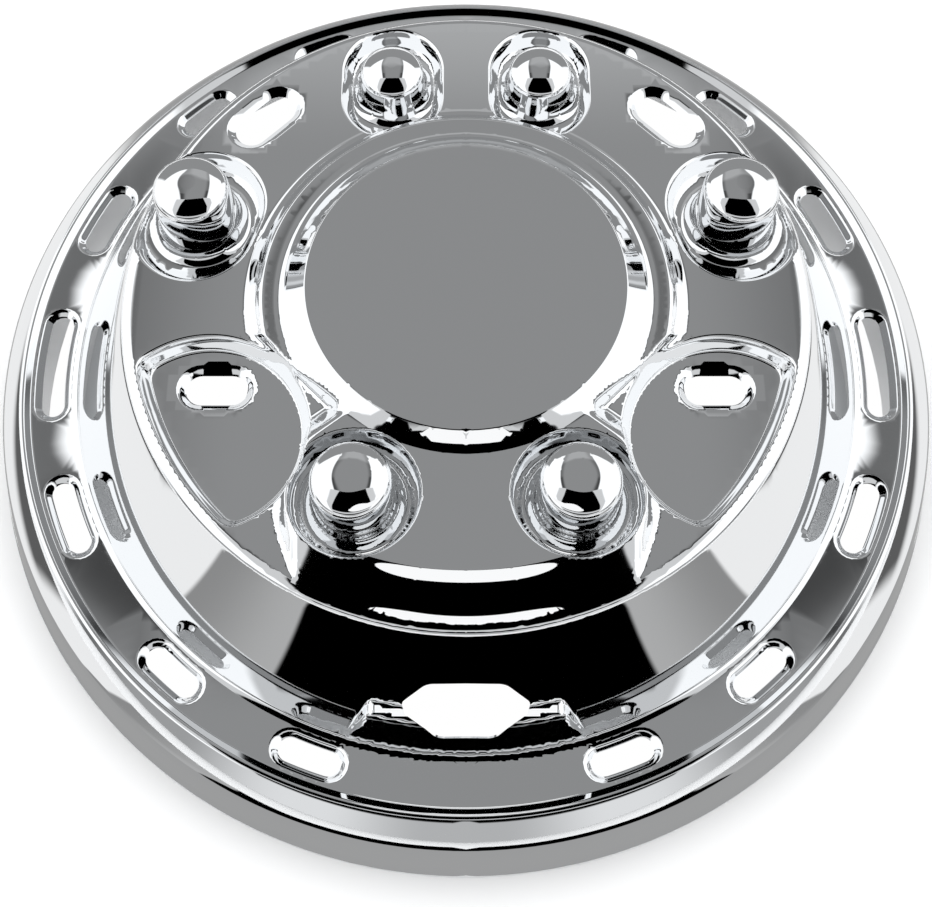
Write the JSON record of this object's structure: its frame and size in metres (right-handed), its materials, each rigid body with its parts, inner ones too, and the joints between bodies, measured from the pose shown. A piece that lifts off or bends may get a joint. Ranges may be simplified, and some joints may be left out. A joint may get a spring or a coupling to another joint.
{
  "type": "wheel simulator",
  "caption": "Pressed, mirror-polished cover for a truck wheel, with a flat hub cap, nut covers, vent slots, a hand hole and a flared skirt.",
  "frame": {"origin": "centre of the skirt's bottom edge, on the cover's axis", "axes": "+Z along the cover's axis, out of its face; -Y towards the hand hole; +X to the right as pictured"},
  "size_m": [0.44, 0.44, 0.13],
  "materials": {
    "steel": "mirror-polished stainless steel"
  },
  "bodies": {
    "root": {"wheel_cover": "steel"}
  },
  "joints": []
}
